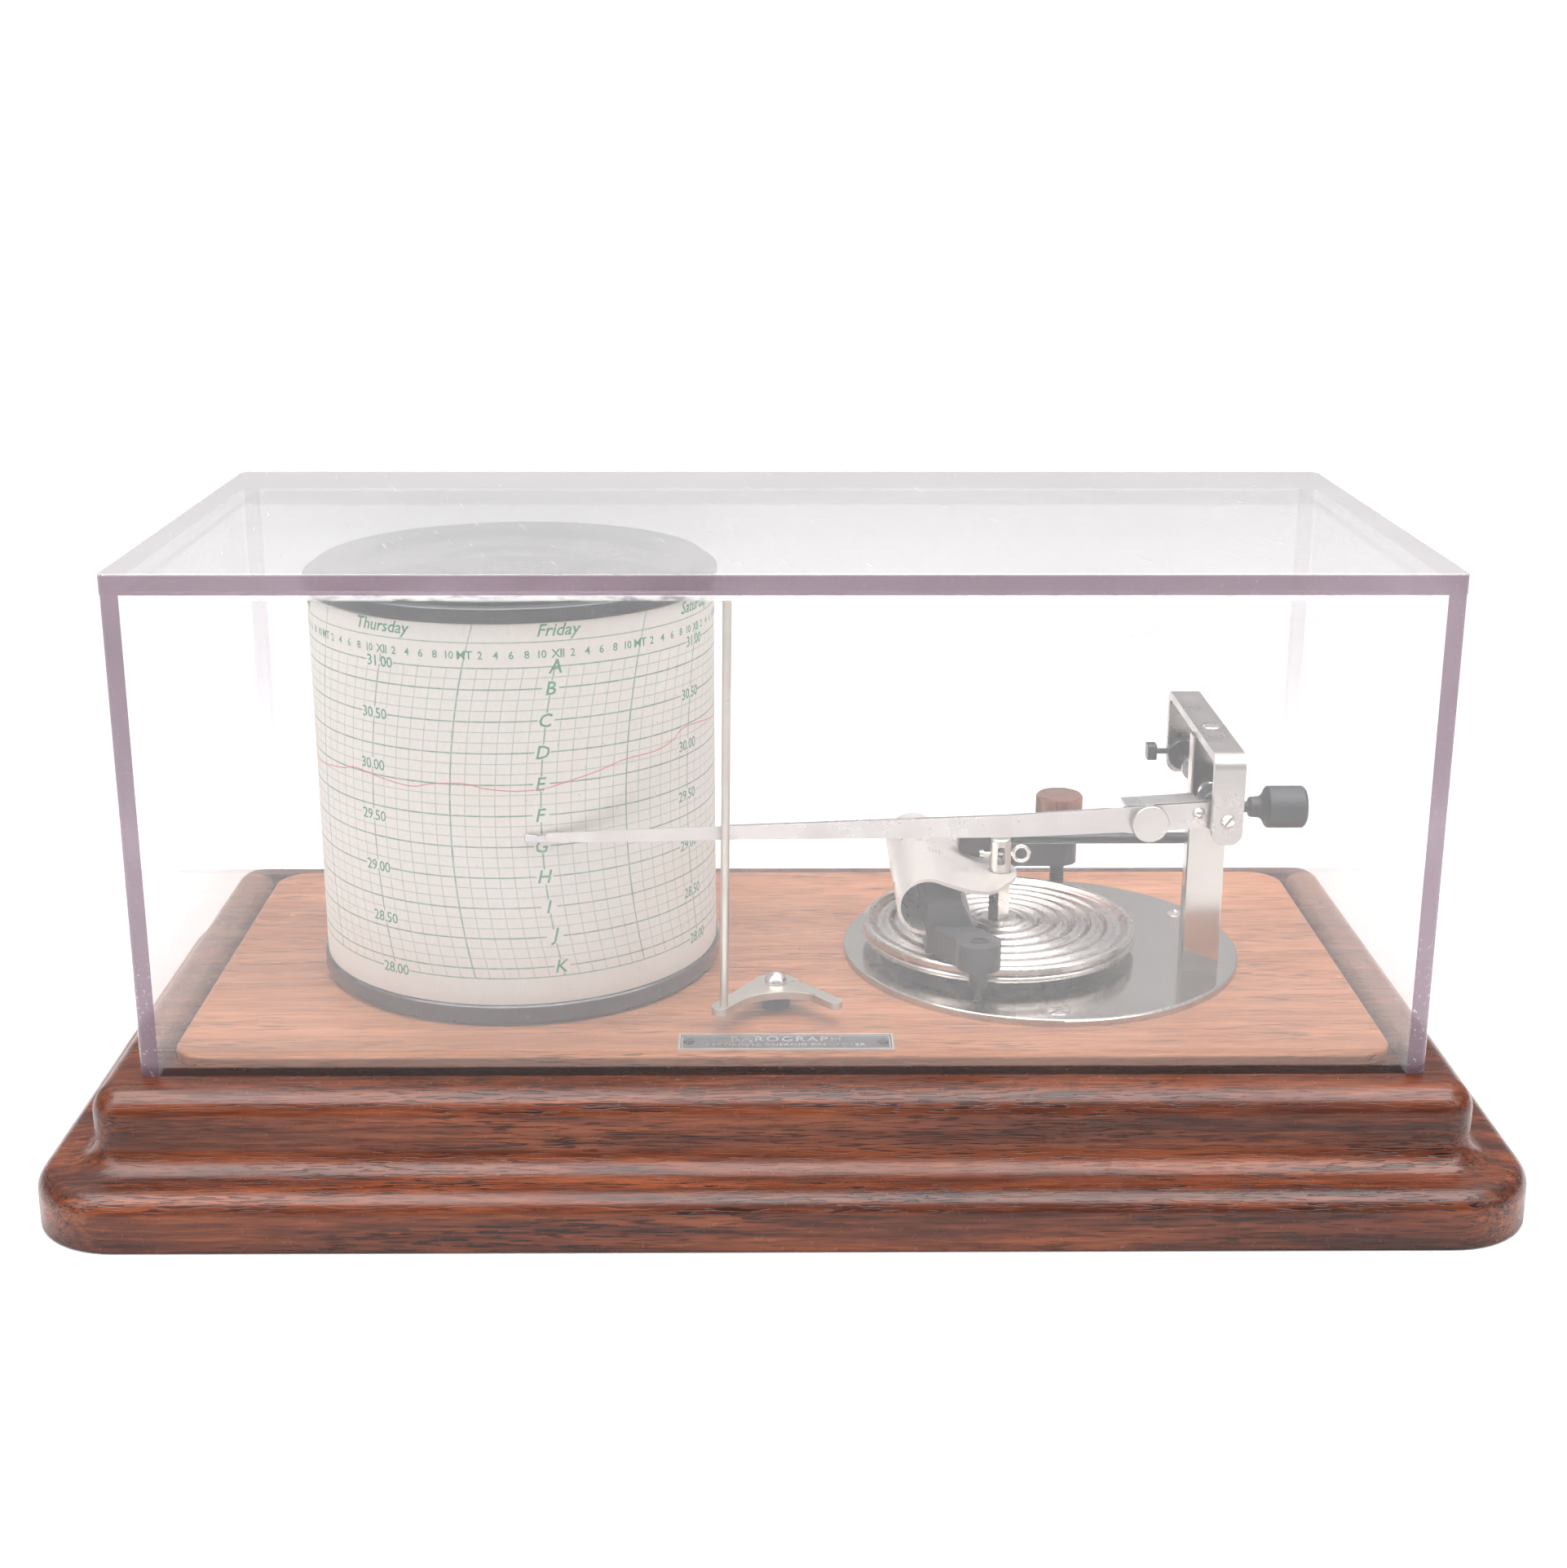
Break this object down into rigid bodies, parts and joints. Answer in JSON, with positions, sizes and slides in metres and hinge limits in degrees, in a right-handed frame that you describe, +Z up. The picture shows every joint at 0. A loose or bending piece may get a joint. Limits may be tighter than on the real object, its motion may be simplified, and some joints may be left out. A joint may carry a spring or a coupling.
{
  "type": "barograph",
  "caption": "Drum-recording aneroid barometer on a moulded mahogany plinth under a lift-off clear acrylic case, with clock drum, capsule, lever train and swinging pen arm.",
  "frame": {"origin": "middle of the plinth's underside, on the table", "axes": "+Z up, +X to the right along the long side, -Y is the front with the nameplate"},
  "size_m": [0.3466, 0.19, 0.1509],
  "materials": {
    "mahogany": "dark red-brown mahogany, satin lacquer",
    "board_wood": "lighter mahogany veneer, satin lacquer",
    "acrylic": "clear acrylic sheet with a violet cast in its edges",
    "nickel": "polished nickel plate",
    "satin_nickel": "satin nickel plate",
    "white_metal": "bright aluminium strip",
    "black_enamel": "gloss black enamel",
    "black_crackle": "matt black enamel on a casting",
    "black_oxide": "blackened steel",
    "steel": "bright turned steel",
    "brass": "turned brass, lacquered",
    "copper_knob": "browned copper alloy, knurled",
    "black_plastic": "moulded black plastic",
    "paper": "cream chart paper with a green printed grid",
    "plate_print": "black-filled etched plate with a silver border",
    "spring_steel": "blued spring steel"
  },
  "bodies": {
    "base": {"base_plinth": "mahogany", "instrument_board": "board_wood", "nameplate": "plate_print", "nameplate_pins": "black_oxide", "drum_spindle": "steel", "spindle_gear": "brass", "spindle_nut": "brass", "aneroid_base_plate": "nickel", "base_plate_screws": "nickel", "capsule_lower_shell": "nickel", "bridge_casting": "black_crackle", "bridge_front_screw": "black_oxide", "main_spring": "satin_nickel", "pivot_post": "nickel", "yoke": "satin_nickel", "yoke_screw": "nickel", "pivot_screws": "nickel", "lifter_post": "black_plastic", "lifter_screw": "nickel"},
    "cover": {"cover_top_panel": "acrylic", "cover_front_panel": "acrylic", "cover_back_panel": "acrylic", "cover_left_panel": "acrylic", "cover_right_panel": "acrylic"},
    "drum": {"drum_shell": "white_metal", "drum_base_flange": "black_enamel", "chart_paper": "paper", "chart_clip": "steel", "clock_bottom_plate": "brass", "clock_top_plate": "brass", "clock_pillars": "brass"},
    "lid": {"drum_lid": "black_enamel"},
    "drive": {"drive_arbor": "steel"},
    "barrel": {"mainspring_barrel": "brass", "mainspring": "spring_steel"},
    "winding": {"barrel_arbor": "steel", "winding_key": "brass"},
    "train": {"train_wheel": "brass"},
    "escape": {"escape_wheel": "brass"},
    "balance": {"balance_wheel": "brass"},
    "capsule": {"capsule_upper_diaphragm": "nickel", "capsule_post": "satin_nickel", "link_block": "satin_nickel", "link_pin": "nickel"},
    "lever": {"main_lever": "black_oxide"},
    "pen": {"pen_arbor": "steel", "arbor_hub": "black_oxide", "back_collar": "black_oxide", "square_head_set_screw": "black_oxide", "pen_arm_carrier": "black_oxide", "gate_screw": "nickel", "pen_arm": "white_metal", "pen_nib": "steel"},
    "link": {"connecting_link": "steel"},
    "clamp": {"thumb_screw": "satin_nickel"},
    "set_knob": {"pen_set_knob": "black_plastic"},
    "adjuster": {"pressure_adjusting_screw": "black_oxide", "knurled_adjusting_knob": "copper_knob"},
    "lifter": {"lifter_lever": "satin_nickel", "lifter_rod": "satin_nickel"}
  },
  "joints": [
    {"name": "cover_lift", "type": "slide", "parent": "base", "child": "cover", "axis": [0, 0, 1], "range_m": [0, 0.15]},
    {"name": "drum_spin", "type": "hinge", "parent": "base", "child": "drum", "pos_m": [-0.06755, 0.00265, 0.08], "axis": [0, 0, 1], "continuous": true},
    {"name": "lid_lift", "type": "slide", "parent": "drum", "child": "lid", "axis": [0, 0, 1], "range_m": [0, 0.005]},
    {"name": "drive_spin", "type": "hinge", "parent": "drum", "child": "drive", "pos_m": [-0.04755, 0.00265, 0.06], "axis": [0, 0, 1], "continuous": true},
    {"name": "barrel_spin", "type": "hinge", "parent": "drum", "child": "barrel", "pos_m": [-0.05903, 0.02509, 0.057], "axis": [0, 0, 1], "continuous": true},
    {"name": "winding", "type": "hinge", "parent": "drum", "child": "winding", "pos_m": [-0.05903, 0.02509, 0.08], "axis": [0, 0, 1], "continuous": true},
    {"name": "train_spin", "type": "hinge", "parent": "drum", "child": "train", "pos_m": [-0.07702, 0.0247, 0.06], "axis": [0, 0, 1], "continuous": true},
    {"name": "escape_spin", "type": "hinge", "parent": "drum", "child": "escape", "pos_m": [-0.09324, 0.01814, 0.06], "axis": [0, 0, 1], "continuous": true},
    {"name": "balance_swing", "type": "hinge", "parent": "drum", "child": "balance", "pos_m": [-0.09845, -0.00563, 0.06], "axis": [0, 0, 1], "range_deg": [-135, 135]},
    {"name": "pen_swing", "type": "hinge", "parent": "base", "child": "pen", "pos_m": [0.1058, -0.01, 0.085], "axis": [0, 1, 0], "range_deg": [-12.3, 14.2]},
    {"name": "lever_rock", "type": "hinge", "parent": "base", "child": "lever", "pos_m": [0.0358, 0.0076, 0.0575], "axis": [0, 1, 0], "range_deg": [-1.2, 1.4]},
    {"name": "capsule_flex", "type": "slide", "parent": "base", "child": "capsule", "axis": [0, 0, 1], "range_m": [-0.00055, 0.00048], "deforming": ["capsule_upper_diaphragm"]},
    {"name": "link_swing", "type": "hinge", "parent": "pen", "child": "link", "pos_m": [0.1123, 0.0044, 0.085], "axis": [0, 1, 0], "range_deg": [-14.5, 12.6]},
    {"name": "clamp_turn", "type": "hinge", "parent": "pen", "child": "clamp", "pos_m": [0.0875, -0.03878, 0.0841], "axis": [0.0599, -0.9982, 0], "continuous": true},
    {"name": "set_knob_turn", "type": "hinge", "parent": "pen", "child": "set_knob", "pos_m": [0.115, -0.02975, 0.085], "axis": [1, 0, 0], "continuous": true},
    {"name": "adjuster_turn", "type": "hinge", "parent": "base", "child": "adjuster", "pos_m": [0.0772, 0.04335, 0.055], "axis": [0, 0, 1], "continuous": true},
    {"name": "lifter_swing", "type": "hinge", "parent": "base", "child": "lifter", "pos_m": [-0.00183, -0.035, 0.0407], "axis": [0, 0, 1], "range_deg": [-12, 45]}
  ],
  "couplings": [
    {"joint": "drive_spin", "follows": "drum_spin", "ratio": 4},
    {"joint": "barrel_spin", "follows": "drum_spin", "ratio": -3},
    {"joint": "train_spin", "follows": "drum_spin", "ratio": 12},
    {"joint": "escape_spin", "follows": "drum_spin", "ratio": -72},
    {"joint": "lever_rock", "follows": "pen_swing", "ratio": 0.085},
    {"joint": "capsule_flex", "follows": "pen_swing", "m_per_rad": -0.00178},
    {"joint": "link_swing", "follows": "pen_swing", "ratio": -1}
  ]
}
